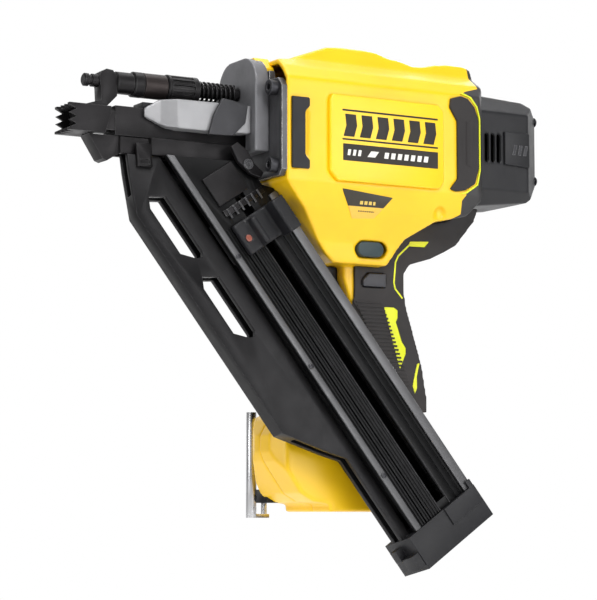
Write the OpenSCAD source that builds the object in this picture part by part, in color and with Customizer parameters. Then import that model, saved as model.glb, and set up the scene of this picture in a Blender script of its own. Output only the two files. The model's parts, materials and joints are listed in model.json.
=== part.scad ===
// Cordless framing nailer with a raked, canted strip magazine.
// Millimetres, +Z up, nails leave towards -X, and the origin is the muzzle on the drive axis.

/* [Body] */
// Half width of the yellow body
body_hw = 43; // [38:1:48]
// Wall thickness of the moulded shells
wall = 3; // [2:0.5:4]
// Rear face of the body shells, where the rear cap seats
body_back = 288; // [280:1:300]
// Length of the rear cap
cap_len = 57; // [48:1:64]
// Half width of the rear cap
cap_hw = 34; // [28:1:38]

/* [Grip and foot] */
// Half width of the grip over its rubber
grip_hw = 18; // [16:0.5:20]
// Thickness of the rubber overmould
rubber = 2; // [1:0.5:3]
// Lowest face of the foot, below the drive axis
foot_z = -248; // [-262:1:-244]
// Left side of the foot
foot_left = -24; // [-28:1:-18]
// Right side of the foot
foot_right = 36; // [32:1:44]

/* [Nose] */
// Radius of the drive channel
channel_r = 4; // [3.5:0.1:5]
// Half width of the nosepiece barrel
nose_hw = 9; // [8:0.5:10]
// Front face of the mounting flange
flange_x = 127; // [124:1:130]
// Thickness of the mounting flange
flange_t = 4; // [3:0.5:5]
// Half width of the mounting flange
flange_hw = 42.5; // [38:0.5:44]
// Travel of the contact trip
trip_travel = 12; // [8:1:14]
// Height of the trip rod above the drive axis
rod_z = 26.5; // [24:0.5:28]
// Radius of the trip rod
rod_r = 4.2; // [3.5:0.1:5]

/* [Driver] */
// Stroke of the driver
stroke = 96; // [90:1:98]
// Clearance between the driver blade and its channel
blade_clearance = 0.4; // [0.2:0.05:0.8]
// Radius of the two driver guide rods
guide_r = 3; // [2.5:0.1:3.5]
// Radius of the flywheel
flywheel_r = 20; // [16:1:21]

/* [Magazine] */
// Rake of the nail strip from square to the drive axis, in degrees
rake = 33; // [30:0.5:34]
// Cant of the magazine out to the left side, in degrees
cant = 11; // [8:0.5:14]
// Front edge of the magazine across its length
mag_front = -4.6; // [-8:0.2:-2]
// Rear edge of the magazine across its length
mag_rear = 90; // [86:0.5:91]
// Distance down the magazine to the end cap
mag_end = 342; // [290:1:350]
// Half thickness of the window plates
plate_n = 6; // [5:0.25:7]
// Half thickness of the nail tray
tray_n = 13; // [12:0.5:14]
// Travel of the pusher
pusher_travel = 185; // [150:1:190]

/* [Hidden] */
$fn = 48;
gap = 0.3;        // clearance between pieces that move past each other
fit = 0.05;       // running clearance of a shaft or slide
flange_back = flange_x + flange_t;
body_front = flange_back;
lane_n = 2.6;     // half width of the nail lane
blade_r = channel_r - blade_clearance;

// ---- helpers ----

// Outline in X and Z, extruded across Y
module side(y0, y1) {
    translate([0, y1, 0]) rotate([90, 0, 0]) linear_extrude(y1 - y0) children();
}

// Outline in Y and Z, extruded along X
module front(x0, x1) {
    translate([x0, 0, 0]) rotate([90, 0, 90]) linear_extrude(x1 - x0) children();
}

// Cylinder along X
module xcyl(x0, x1, r, y = 0, z = 0) {
    translate([x0, y, z]) rotate([0, 90, 0]) cylinder(h = x1 - x0, r = r);
}

// Cylinder along Y
module ycyl(y0, y1, r, x = 0, z = 0) {
    translate([x, y0, z]) rotate([-90, 0, 0]) cylinder(h = y1 - y0, r = r);
}

// Box from its lowest to its highest corner
module block(a, b) {
    translate(a) cube(b - a);
}

// Ring along X
module xring(x0, x1, r_in, r_out, y = 0, z = 0) {
    difference() {
        xcyl(x0, x1, r_out, y, z);
        xcyl(x0 - 1, x1 + 1, r_in, y, z);
    }
}

// The magazine's frame: x across the strip, y across its thickness, z up its length
module mag() {
    rotate([-cant, 0, 0]) rotate([0, -rake, 0]) children();
}

// Outline across and down the magazine, extruded through its thickness
module mag_side(n0, n1) {
    mag() side(n0, n1) mirror([0, 1]) children();
}

// Box in the magazine's frame: across, thickness, distance down
module mag_block(a, b) {
    mag() block([a[0], a[1], -b[2]], [b[0], b[1], -a[2]]);
}

// Distance down the magazine of the level cut at depth s under the drive axis
function level(a, s) = (s + a * sin(rake)) / cos(rake);

// ---- body ----

module body_outline() {
    polygon([[body_front, 48], [142, 49.5], [148, 52], [160, 56.5], [172, 61], [185, 62.8],
        [204, 62.8], [211, 61.8], [223, 58], [231, 57.3], [240, 54.6], [249, 55.2], [258, 57.5],
        [269, 59], [283, 59], [body_back, 56.5], [body_back, -33], [274, -48],
        [250, -53], [229, -66], [217, -84], [175, -84], [169, -79], [146, -50], [body_front, -34]]);
}

module body_section() {
    polygon([[-15, 67], [-22, 61], [-26, 50], [-36, 43], [-body_hw, 34], [-body_hw, -33], [-38, -50],
        [-29, -70], [-26, -90], [26, -90], [29, -70], [38, -50], [body_hw, -33], [body_hw, 34],
        [36, 43], [26, 50], [22, 61], [15, 67]]);
}

// Plan of the body, drawn in where the cap seats
module body_plan() {
    polygon([[body_front, -body_hw], [body_back - 6, -body_hw], [body_back, -body_hw + 6],
        [body_back, body_hw - 6], [body_back - 6, body_hw], [body_front, body_hw]]);
}

module body_solid() {
    intersection() {
        side(-body_hw - 1, body_hw + 1) body_outline();
        front(body_front, body_back) body_section();
        translate([0, 0, -100]) linear_extrude(200) body_plan();
    }
}

module body_hollow() {
    intersection() {
        side(-body_hw, body_hw) polygon([[body_front - 1, 44], [147, 47.5], [160, 52], [172, 57],
            [185, 59], [204, 59], [208, 52], [240, 50.5], [258, 53], [body_back + 1, 53],
            [body_back + 1, -31], [271, -44], [247, -50], [226, -63], [214, -80], [177, -80],
            [172, -77], [148, -46], [body_front - 1, -29]]);
        front(body_front - 1, body_back + 1) offset(delta = -wall) body_section();
        translate([0, 0, -100]) linear_extrude(200) polygon([[body_front - 1, -body_hw],
            [body_back - 6, -body_hw + wall], [body_back + 1, -body_hw + 11],
            [body_back + 1, body_hw - 11], [body_back - 6, body_hw - wall],
            [body_front - 1, body_hw]]);
    }
}

// Outline of the whole grip, from the tang behind the body to the foot
module grip_outline() {
    polygon([[189, -84], [189, -92], [195, -108], [203, -118], [212, -140], [217, -160], [219, -181],
        [254, -181], [254, -170], [250.5, -150], [244.5, -130], [238, -110], [236, -98], [236, -88],
        [241, -81], [258, -76], [270, -70.5], [279, -65.5], [288, -55], [294, -48], [298, -38.6],
        [body_back, -38.6], [body_back, -33], [274, -48], [250, -53], [229, -66], [217, -84]]);
}

// Yellow core that the rubber is moulded over
module core_outline() {
    polygon([[189, -84], [189, -92], [195, -108], [205, -118], [214, -140], [219, -160], [221, -181],
        [252, -181], [252, -170], [248.5, -150], [242.5, -130], [236, -110], [234, -98], [233.5, -86],
        [228, -84]]);
}

module core_solid() {
    side(-grip_hw + rubber, grip_hw - rubber) core_outline();
}

module core_hollow() {
    side(-grip_hw + rubber + wall, grip_hw - rubber - wall) polygon([[193, -79], [193, -92],
        [199, -107], [209, -117], [218, -139], [222.5, -160], [224.5, -190], [246, -190],
        [248, -170], [244.5, -150], [238.5, -130], [232, -110], [230, -98], [229.5, -79]]);
}

foot_back = 268;
module foot_outline() {
    polygon([[141, -187], [152, -183], [205, -181.5], [219, -181], [247, -181], [251, -190],
        [257, -200], [263, -209], [foot_back, -217], [foot_back, foot_z], [174, foot_z], [174, foot_z + 5],
        [162, foot_z + 6.5], [152, -236], [137, -215], [134.5, -209], [134.5, -198]]);
}

module foot_plan() {
    polygon([[134, foot_left + 12], [142, foot_left], [foot_back, foot_left], [foot_back, foot_right],
        [160, foot_right], [147, foot_right - 8], [137, foot_right - 22], [134, 6]]);
}

// Space that the magazine takes past the foot
module magazine_room() {
    mag_block([mag_front - 6, -60, 150], [mag_rear + 3, tray_n + 3, 400]);
}

module foot_solid() {
    difference() {
        intersection() {
            side(foot_left - 1, foot_right + 1) foot_outline();
            translate([0, 0, foot_z - 1]) linear_extrude(-foot_z) foot_plan();
        }
        magazine_room();
    }
}

module foot_hollow() {
    difference() {
        intersection() {
            side(foot_left + wall, foot_right - wall) polygon([[150, -188], [206, -186],
                [231, -186], [244, -186], [248, -194], [254, -204], [260, -213], [foot_back - 4, -220],
                [foot_back - 4, rail_top - 1], [156, rail_top - 1], [141, -213], [139, -200]]);
            translate([0, 0, foot_z - 1]) linear_extrude(-foot_z) offset(delta = -wall) foot_plan();
        }
        mag_block([mag_front - 10, -70, 140], [mag_rear + 3 + wall, tray_n + 3 + wall, 410]);
    }
}

// Opening in the foot's underside for the battery's rail block, and the way in from behind
rail_x0 = 196;
rail_x1 = foot_back - 9;
rail_hw = 23;
rail_y = 7;
rail_top = foot_z + 13;
slide_hw = 17;
slide_top = rail_top - 5;
module rail_pocket() {
    block([rail_x0, rail_y - rail_hw, foot_z - 1], [rail_x1, rail_y + rail_hw, rail_top]);
    block([rail_x0 + 5, rail_y - slide_hw, foot_z - 1], [foot_back + 1, rail_y + slide_hw, slide_top]);
}

// Cross bolt opening for the trigger lock
lock_x = 212;
lock_z = -93;
lock_l = 18;
lock_h = 9;
module lock_shape(e = 0) {
    side(-grip_hw - 4, grip_hw + 4)
        polygon([[lock_x - lock_l / 2 - e, lock_z - lock_h / 2 - e],
            [lock_x + lock_l / 2 + e, lock_z - lock_h / 2 - e],
            [lock_x + lock_l / 2 + e, lock_z + lock_h / 2 + e],
            [lock_x - lock_l / 2 + 5 - e, lock_z + lock_h / 2 + e],
            [lock_x - lock_l / 2 - e, lock_z + lock_h / 2 - 5 + e]]);
}

trigger_hw = 6.5;
module trigger_slot() {
    block([170, -trigger_hw - gap, -113], [204, trigger_hw + gap, -79]);
}

// Screw places of the two shells: X, Z
SHELL_SCREWS = [[152, 34], [240, 38], [252, -47.6], [152, -20]];
boss_r = 5;
screw_r = 1.9;
head_y = body_hw - 7;

module shell_bosses() {
    for (p = SHELL_SCREWS) ycyl(-body_hw, body_hw, boss_r, p[0], p[1]);
}

module shell_all() {
    difference() {
        union() {
            difference() {
                union() {
                    body_solid();
                    core_solid();
                    foot_solid();
                }
                body_hollow();
                core_hollow();
                foot_hollow();
            }
            intersection() {
                shell_bosses();
                body_solid();
            }
        }
        for (p = SHELL_SCREWS) {
            ycyl(-body_hw + 8, head_y, screw_r, p[0], p[1]);
            ycyl(head_y, body_hw + 2, 3.6, p[0], p[1]);
        }
        // round dimple in the left shell over the lower rear boss
        ycyl(-body_hw - 2, -head_y, 4.4, SHELL_SCREWS[2][0], SHELL_SCREWS[2][1]);
        ycyl(-pin_hw, pin_hw, pin_r, trigger_x, trigger_z);
        rail_pocket();
        lock_shape(gap);
        trigger_slot();
        selector_shape(gap, 4);
        panel_pocket();
        top_pocket();
        front_pad_shape();
        rear_pad_shape();
        label_shape();
        stripe_shape();
    }
}

module housing_left() {
    color([0.98, 0.76, 0.05]) intersection() {
        shell_all();
        block([100, -60, -270], [320, 0, 80]);
    }
}

module housing_right() {
    color([0.98, 0.76, 0.05]) intersection() {
        shell_all();
        block([100, 0, -270], [320, 60, 80]);
    }
}

module housing_screws() {
    color("dimgray") for (p = SHELL_SCREWS) {
        ycyl(-body_hw + 8, head_y, screw_r, p[0], p[1]);
        ycyl(head_y, head_y + 3, 3.4, p[0], p[1]);
    }
}

module grip_overmould() {
    color([0.17, 0.16, 0.17]) difference() {
        side(-grip_hw, grip_hw) grip_outline();
        core_solid();
        body_solid();
        core_hollow();
        foot_solid();
        lock_shape(gap);
        trigger_slot();
        // the yellow strip at the grip's front edge shows
        side(-grip_hw - 1, grip_hw + 1) polygon([[186, -83], [197, -83], [197, -98], [195.5, -110],
            [186, -110]]);
        accent_shapes();
    }
}

// Lime panels set in the grip: a long one by the palm and a small one at the tang
module accent_shapes() {
    for (m = [0, 1]) mirror([0, m, 0]) side(-grip_hw - 1, -grip_hw + 1) {
        polygon([[220, -110.7], [228, -110.7], [231, -112.5], [231, -117.7], [229.6, -120.5],
            [234.3, -133.8], [237.3, -137.8], [237.3, -141.8], [232.6, -152.8], [231, -147.5]]);
        polygon([[241, -65], [257, -64], [253, -68.3], [240, -68.4]]);
    }
}

module grip_accents() {
    color([0.85, 0.88, 0.1]) intersection() {
        accent_shapes();
        side(-grip_hw, grip_hw) grip_outline();
    }
}

// ---- trim on the body ----

module top_pocket() {
    block([212, -13, 55.5], [232, 13, 70]);
}

module top_cover() {
    color([0.15, 0.15, 0.16]) intersection() {
        block([212, -13, 55.5], [232, 13, 68]);
        side(-20, 20) polygon([[212, 55.5], [232, 55.5], [232, 57.5], [224, 58.6], [212, 62.2]]);
    }
}

// Side panel: a shallow tray set in each side
module panel_outline() {
    polygon([[164, 25], [247, 25], [251, 21], [251, -27], [247, -32], [168, -32], [162, -26],
        [162, 21]]);
}

panel_depth = 1.5;
module panel_pocket() {
    for (s = [-1, 1]) translate([0, s * (body_hw + 3 - panel_depth), 0]) side(-3, 3) panel_outline();
}

module side_panels() {
    color([0.98, 0.76, 0.05]) for (s = [-1, 1])
        translate([0, s * (body_hw + 0.5), 0]) side(-2, 2) panel_outline();
}

module front_pad_shape() {
    for (s = [-1, 1]) translate([0, s * (body_hw), 0]) side(-1.5, 1.5) polygon([[134, 21],
        [138, 21], [141, 16], [147, 12], [147, -18], [141, -21], [138, -26], [134, -26]]);
}

module front_pads() {
    color([0.15, 0.15, 0.16]) front_pad_shape();
}

module rear_pad_outline() {
    polygon([[257, 25], [258, 31], [266, 33.5], [272, 32], [277.5, 26.5], [280.5, 18.5],
        [280.5, -16], [277.5, -26], [269.5, -31], [262, -32.5], [257, -31], [263, -24], [263, 16]]);
}

module rear_pad_shape() {
    for (s = [-1, 1]) translate([0, s * (body_hw), 0]) side(-1.2, 1.2) rear_pad_outline();
}

module rear_pads() {
    color([0.15, 0.15, 0.16]) difference() {
        rear_pad_shape();
        for (s = [-1, 1]) translate([0, s * (body_hw + 3), 0]) side(-2.2, 2.2)
            polygon([[270, 16], [275, 17], [275, -15], [270, -14]]);
    }
}

module stripe_shape() {
    for (s = [-1, 1]) translate([0, s * (body_hw), 0]) side(-1, 1) polygon([[266, 35], [268.5, 35.5],
        [274.5, 33.5], [279.8, 27.3], [282, 19], [282, -17], [279.8, -27], [270.5, -33.2],
        [266, -34], [266, -33.2], [270, -32.2], [278.8, -26.4], [281, -16.6], [281, 18.6],
        [278.8, 26.6], [273.6, 32.6], [268, 34.5]]);
}

module pinstripes() {
    color([0.8, 0.85, 0.1]) stripe_shape();
}

// Trapezoid label below each side panel, let into the sloping wall
module label_shape() {
    for (m = [0, 1]) mirror([0, m, 0])
        intersection() {
            side(-body_hw, -30) polygon([[173, -36.5], [213, -40], [201, -54], [184, -55]]);
            difference() {
                front(170, 216) body_section();
                front(169, 217) offset(delta = -1) body_section();
            }
        }
}

module info_labels() {
    color([0.2, 0.16, 0.06]) label_shape();
}

// ---- rear cap ----

module cap_section(d = 0) {
    polygon([[-cap_hw + d, 27 - d], [-cap_hw + 13, 41 - d], [cap_hw - 13, 41 - d],
        [cap_hw - d, 27 - d], [cap_hw - d, -27 + d], [cap_hw - 12, -38 + d],
        [-cap_hw + 12, -38 + d], [-cap_hw + d, -27 + d]]);
}

cap_back = body_back + cap_len;
module cap_profile(d = 0) {
    polygon([[body_back, 41 - d], [cap_back - 14 - d, 38 - d], [cap_back - d, 27.5 - d],
        [cap_back - d, -20 + d], [cap_back - 13 - d, -33.5 + d], [body_back, -38 + d]]);
}

module cap_plan(d = 0) {
    polygon([[body_back, -cap_hw + d], [cap_back - 16, -cap_hw + d], [cap_back - d, -cap_hw + 14],
        [cap_back - d, cap_hw - 14], [cap_back - 16, cap_hw - d], [body_back, cap_hw - d]]);
}

module rear_cap() {
    color([0.16, 0.16, 0.17]) difference() {
        intersection() {
            side(-cap_hw - 1, cap_hw + 1) cap_profile();
            front(body_back, cap_back) cap_section();
            translate([0, 0, -60]) linear_extrude(120) cap_plan();
        }
        intersection() {
            side(-cap_hw, cap_hw) cap_profile(wall);
            front(body_back - 1, cap_back) cap_section(wall);
            translate([0, 0, -60]) linear_extrude(120) cap_plan(wall);
        }
        // three cooling slots through each side
        for (i = [0:2])
            block([body_back + 5 + i * 5, -cap_hw - 2, -8], [body_back + 8 + i * 5, cap_hw + 2, 12]);
        for (p = CAP_SCREWS) xcyl(body_back, cap_back + 1, screw_r, p[0], p[1]);
    }
}

// Places of the screws through the cap's back: Y, Z
CAP_SCREWS = [[-18, 26], [18, 26], [-18, -16], [18, -16]];
frame_x0 = body_back - 12;
frame_x1 = body_back - 6;

module cap_screws() {
    color("dimgray") for (p = CAP_SCREWS) {
        xcyl(frame_x0, cap_back, screw_r, p[0], p[1]);
        xcyl(cap_back, cap_back + 1, 3.4, p[0], p[1]);
    }
}

// Raised pads with cooling slots on the cap's sides
module cap_badges() {
    color([0.12, 0.12, 0.13]) for (m = [0, 1]) mirror([0, m, 0])
        side(-cap_hw - 2, -cap_hw) polygon([[body_back + 20, 14], [cap_back - 16, 14],
            [cap_back - 16, -10], [body_back + 20, -9]]);
}

// ---- controls ----

sel_x = 202;
sel_z = -74;
module selector_shape(e = 0, travel = 0) {
    side(-33, -24) {
        translate([sel_x - 5, sel_z]) circle(r = 5 + e);
        translate([sel_x + 5 + travel, sel_z]) circle(r = 5 + e);
        polygon([[sel_x - 5, sel_z - 5 - e], [sel_x + 5 + travel, sel_z - 5 - e],
            [sel_x + 5 + travel, sel_z + 5 + e], [sel_x - 5, sel_z + 5 + e]]);
    }
}

module mode_selector() {
    color([0.2, 0.25, 0.28]) intersection() {
        selector_shape(0, 0);
        block([180, -31, -90], [230, -25, -60]);
    }
}

module trigger() {
    color([0.24, 0.22, 0.25]) difference() {
        side(-trigger_hw, trigger_hw) polygon([[178, -84.5], [200, -84.5], [201, -96], [199, -106],
            [193, -111], [188, -111], [185.5, -107], [183.5, -99], [181, -92]]);
        ycyl(-20, 20, pin_r + fit, trigger_x, trigger_z);
    }
}

trigger_x = 195;
trigger_z = -88.5;
pin_r = 1.5;
pin_hw = 11;
module trigger_pin() {
    color("gray") ycyl(-pin_hw, pin_hw, pin_r, trigger_x, trigger_z);
}

module trigger_lock() {
    color([0.1, 0.1, 0.11]) intersection() {
        lock_shape(0);
        block([190, -grip_hw - 1.5, -120], [240, grip_hw + 1.5, -60]);
    }
}

module trigger_switch() {
    color("black") {
        block([212.5, -7, -121], [229, 7, -103]);
        block([204.4, -3, -110], [212.5, 3, -106]);
    }
}

// ---- front end ----

// Dome section of the casting, in Y and Z
dome_hw = 26;
dome_top = 50;
module dome_section(d = 0) {
    translate([-dome_hw + 18, dome_top - 18]) circle(r = 18 - d);
    translate([dome_hw - 18, dome_top - 18]) circle(r = 18 - d);
    polygon([[-dome_hw + 18, dome_top - 18], [dome_hw - 18, dome_top - 18],
        [dome_hw - 18, dome_top - d], [-dome_hw + 18, dome_top - d]]);
    polygon([[-dome_hw + d, -14 + d], [dome_hw - d, -14 + d], [dome_hw - d, dome_top - 18],
        [-dome_hw + d, dome_top - 18]]);
}

casting_x = 116.5;
module front_casting() {
    color([0.55, 0.56, 0.58]) difference() {
        front(casting_x, flange_x) dome_section();
        front(casting_x + 3, flange_x + 1) dome_section(3);
        block([casting_x - 1, -nose_hw - 3, -30], [casting_x + 4, nose_hw + 3, 13]);
        xcyl(casting_x - 1, casting_x + 4, rod_r + fit, 0, rod_z);
    }
}

// Flange bolts: Y, Z
FLANGE_BOLTS = [[-35, 27], [35, 27], [-35, -24], [35, -24]];
module front_flange() {
    color([0.75, 0.76, 0.78]) difference() {
        front(flange_x, flange_back) polygon([[-flange_hw, 28], [-flange_hw + 5, 33.5],
            [-dome_hw, 34], [-dome_hw, 40], [dome_hw, 40], [dome_hw, 34], [flange_hw - 5, 33.5],
            [flange_hw, 28], [flange_hw, -27], [flange_hw - 4, -31], [-flange_hw + 4, -31],
            [-flange_hw, -27]]);
        block([flange_x - 1, -21, -11], [flange_back + 1, 21, 11]);
        xcyl(flange_x - 1, flange_back + 1, rod_r + gap, 0, rod_z);
        for (p = FLANGE_BOLTS) xcyl(flange_x - 1, flange_back + 1, 3 + gap, p[0], p[1]);
    }
}

module flange_bolts() {
    color([0.12, 0.12, 0.13]) for (p = FLANGE_BOLTS) {
        xcyl(flange_x, flange_back, 3, p[0], p[1]);
        difference() {
            xcyl(flange_x - 6, flange_x, 5, p[0], p[1]);
            translate([flange_x - 7, p[0], p[1]]) rotate([0, 90, 0]) cylinder(h = 4, r = 2.5, $fn = 6);
        }
    }
}

// Two aluminium side arms bolted to the flange
module bracket_plan() {
    polygon([[casting_x, -20], [casting_x, -nose_hw], [44, -nose_hw],
        [43, -12], [54, -13], [63, -20]]);
}

module nose_bracket() {
    color([0.8, 0.8, 0.82]) for (m = [0, 1]) mirror([0, m, 0])
        intersection() {
            translate([0, 0, -10]) linear_extrude(40) bracket_plan();
            side(-30, 0) polygon([[42, 5], [44, 10], [54, 16], [flange_x, 16.5], [flange_x, -2],
                [116, -2], [100, -3], [66, -3], [58, -2], [46, 3]]);
        }
}

// Dark plates that link each arm to the magazine
module link_plates() {
    color([0.3, 0.3, 0.31]) for (m = [0, 1]) mirror([0, m, 0])
        side(-23, -20.05) polygon([[94, 19], [100, 18.5], [113, 16], [111, 4], [102, -5], [84, -5.5],
            [88, 8]]);
}

// Steel nose: a barrel round the drive channel and two cheeks down to the magazine
barrel_x = 24.5;
cheek_hw = 6.5;
module nosepiece() {
    color([0.14, 0.14, 0.15]) difference() {
        union() {
            block([0, -nose_hw + 0.5, -6.1], [barrel_x, nose_hw - 0.5, 6.2]);
            block([barrel_x - 0.5, -nose_hw, -9], [casting_x + 3, nose_hw, 10]);
            side(-cheek_hw, cheek_hw) polygon([[6.5, -9.1], [16.5, -24.5], [19.5, -25.6],
                [24.5, -22.4], [28, shroud_z], [28, -8], [barrel_x - 0.5, -8], [barrel_x - 0.5, -9.1]]);
        }
        xcyl(-1, barrel_x + 1, channel_r);
        xcyl(barrel_x, casting_x + 5, channel_r + gap);
        // nail slot below the channel
        block([barrel_x, -lane_n, -12], [112, lane_n, 0]);
    }
}

// Serrated crown that touches the work, open at both ends, with the arm up to the rod
crown_front = -9;
crown_back = 10;
crown_hw = 11.5;
crown_wall = 2.2;
module crown_walls() {
    difference() {
        union() {
            block([crown_front, -crown_hw, -8.7], [crown_back, crown_hw, 8.8]);
            // the side walls reach further back than the top and bottom
            side(-crown_hw, crown_hw) polygon([[crown_back - 1, -8.7], [crown_back + 6, -8.7],
                [crown_back + 10, 4], [crown_back + 10, 8.8], [crown_back - 1, 8.8]]);
        }
        block([crown_front - 1, -crown_hw + crown_wall, -6.5], [crown_back + 11, crown_hw - crown_wall, 6.6]);
        block([crown_back, -crown_hw + crown_wall, -9], [crown_back + 11, crown_hw - crown_wall, 9]);
        // notches between the teeth, across and upright
        for (z = [-4.6, 0.2, 5]) side(-20, 20) polygon([[crown_front - 1, z - 3],
            [crown_front - 1, z + 3], [crown_front + 5, z]]);
        for (y = [-5.5, 0, 5.5]) translate([0, 0, -12]) linear_extrude(24)
            polygon([[crown_front - 1, y - 3.3], [crown_front - 1, y + 3.3], [crown_front + 6, y]]);
    }
}

module contact_trip() {
    color([0.13, 0.13, 0.14]) {
        crown_walls();
        difference() {
            side(-5, 5) polygon([[5, 8.7], [crown_back, 8.7], [12, 10.4], [20.5, 10.4], [27, 17],
                [27, 29.5], [24, 33.5], [19.5, 34], [16, 32], [14.5, 28], [15.5, 22], [16, 13.5],
                [5, 10]]);
            xcyl(0, 50, rod_r, 0, rod_z);
        }
    }
}

sleeve_x0 = 39;
wheel_x0 = 63;
wheel_x1 = 86;
module trip_rod() {
    color([0.2, 0.19, 0.19]) {
        xcyl(5, casting_x + 1.5, rod_r, 0, rod_z);
        xring(27.05, sleeve_x0, rod_r, 7.2, 0, rod_z);
        xring(sleeve_x0, wheel_x0 - gap, rod_r, 8.2, 0, rod_z);
    }
}

wheel_r = 8.8;
module depth_wheel() {
    color([0.12, 0.12, 0.12]) difference() {
        xcyl(wheel_x0, wheel_x1, wheel_r, 0, rod_z);
        xcyl(wheel_x0 - 1, wheel_x1 + 1, rod_r + fit, 0, rod_z);
        for (a = [0:30:330]) translate([wheel_x0 + 3, 0, rod_z]) rotate([a, 0, 0])
            translate([0, 0, wheel_r + 0.6]) rotate([0, 90, 0]) cylinder(h = wheel_x1 - wheel_x0 - 6, r = 1.7);
    }
}

// Compression spring behind the wheel, as its rings
module trip_spring() {
    color([0.2, 0.2, 0.2]) for (i = [0:7])
        translate([wheel_x1 + 2 + i * (casting_x - wheel_x1 - 4) / 7, 0, rod_z]) rotate([0, 90, 0])
            rotate_extrude() translate([6, 0]) circle(r = 0.9, $fn = 16);
}

// Fixed block on top of the nose, under the sleeve
module rod_block() {
    color([0.1, 0.1, 0.11]) {
        block([44, -7, 10], [casting_x, 7, 14.5]);
        block([wheel_x1 + trip_travel + 2, -9, 10], [casting_x, 9, 14.5]);
    }
}

module jam_latch() {
    color([0.16, 0.16, 0.17]) rotate([-cant, 0, 0]) difference() {
        block([37.5, -plate_n - 3, -31], [48, -plate_n - 0.4, -15]);
        block([39.5, -plate_n - 4, -29], [46, -plate_n - 2.2, -26]);
    }
}

// ---- magazine ----

// Window plates: the flat front part of the magazine, and the strip below them
strip_a = 25.8;
module plate_outline() {
    top = 16;
    polygon([[9.5, 45], [15.3, 35.2], [16, level(16, top)], [tray_front, level(tray_front, top)],
        [tray_front, mag_end], [strip_a, mag_end], [strip_a, 277.5], [16, 266], [mag_front, 239],
        [mag_front, 72]]);
}

module window(l0, l1) {
    polygon([[10.5, l0], [21, l0 + 6], [21, l1 - 1], [19, l1 + 1.5], [14.5, l1], [6.5, l1 - 8],
        [6.5, l0 + 7]]);
}

module magazine_plates() {
    color([0.16, 0.16, 0.17]) difference() {
        mag_side(-plate_n, plate_n) plate_outline();
        mag_side(-plate_n - 1, plate_n + 1) {
            window(66.5, 116);
            window(128, 177);
        }
        // lane for the nail points
        mag_block([2, -lane_n, 0], [40, lane_n, 400]);
        // room above for the nosepiece
        block([0, -30, shroud_z], [140, 30, 40]);
    }
}

// Ribbed tray that holds the nail heads' end, open inside
tray_front = 34;
module tray_outline() {
    polygon([[tray_front, level(tray_front, 16)], [60, level(60, 16)], [84, level(84, 23)],
        [84, 100], [mag_rear, 106], [mag_rear, mag_end], [tray_front, mag_end]]);
}

slot_a0 = 60;
slot_a1 = 68;
module magazine_tray() {
    color([0.1, 0.1, 0.11]) difference() {
        mag_side(-tray_n, tray_n) tray_outline();
        // hollow, open at the front towards the plates
        mag_block([tray_front - 1, -tray_n + 3, 30], [mag_rear - 4, tray_n - 3, mag_end + 1]);
        // slot that the pusher rides in
        mag_block([slot_a0, -tray_n - 1, 96], [slot_a1, -tray_n + 4, mag_end - 6]);
        // long flutes on both faces
        for (a = [44, 49, 74, 79]) for (s = [-1, 1])
            mag_block([a, s * tray_n - 0.8, 112], [a + 2, s * tray_n + 0.8, mag_end + 1]);
        block([0, -40, shroud_z], [140, 40, 40]);
        cover_shape();
        mag() translate([lever_a, -tray_n - 1, -lever_l]) rotate([-90, 0, 0]) cylinder(h = 5, r = 2.5 + fit);
    }
}

// Bright ridge along the front of the tray, on both faces
module magazine_rail() {
    color([0.3, 0.3, 0.31]) difference() {
        mag_side(-tray_n - 1.5, -tray_n) polygon([[tray_front, level(tray_front, 16)],
            [tray_front + 4.6, level(tray_front + 4.6, 16)], [tray_front + 4.6, mag_end],
            [tray_front, mag_end]]);
        block([0, -40, shroud_z], [140, 40, 40]);
    }
}

// Steel rail down the rear edge
module rear_rail() {
    color([0.32, 0.32, 0.33]) mag_block([mag_rear - 7, -tray_n - 1.5, 108], [mag_rear, -tray_n, mag_end]);
}

// Black shroud between the nose and the tray
shroud_z = -20.5;
module nose_shroud() {
    color([0.1, 0.1, 0.11]) difference() {
        union() {
            block([28, -8, shroud_z], [48, 8, -9]);
            block([48, -12.5, shroud_z], [casting_x - 6, 12.5, -9]);
        }
        block([20, -lane_n - 2, -24], [104, lane_n + 2, 0]);
    }
}

cap_end = mag_end + 24;
module end_cap() {
    color([0.1, 0.1, 0.11]) difference() {
        union() {
            mag_block([strip_a, -tray_n - 2, mag_end], [mag_rear + 1.5, tray_n + 2, cap_end]);
            mag_block([20, -tray_n - 1, mag_end + 11], [strip_a, -2, cap_end - 3]);
            // lug beside the strip, and a tab up the rear edge
            mag_block([20, -1, mag_end + 4], [strip_a, plate_n, mag_end + 12]);
            mag_block([mag_rear - 4, -tray_n - 3.5, mag_end - 5], [mag_rear, -tray_n - 1.55, mag_end]);
            mag_block([60, -tray_n - 3.5, mag_end], [mag_rear, -tray_n - 1.9, mag_end + 12]);
        }
        mag_block([28, -6, mag_end - 20], [mag_rear - 6, 6, cap_end + 1]);
    }
}

module guide_rods() {
    color([0.35, 0.35, 0.36]) for (n = [-6, 6]) mag()
        translate([80, n, -mag_end]) cylinder(h = mag_end - level(80, 38), r = 1.6);
}

module magazine_screws() {
    color([0.5, 0.5, 0.5]) {
        for (l = [130, 215, mag_end - 42]) mag() translate([tray_front + 2.3, -tray_n - 1.5, -l])
            rotate([90, 0, 0]) cylinder(h = 0.8, r = 1.8);
        mag() translate([mag_rear + 1.5, -3, -mag_end - 14]) rotate([0, 90, 0]) cylinder(h = 4, r = 3.4);
    }
}

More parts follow.
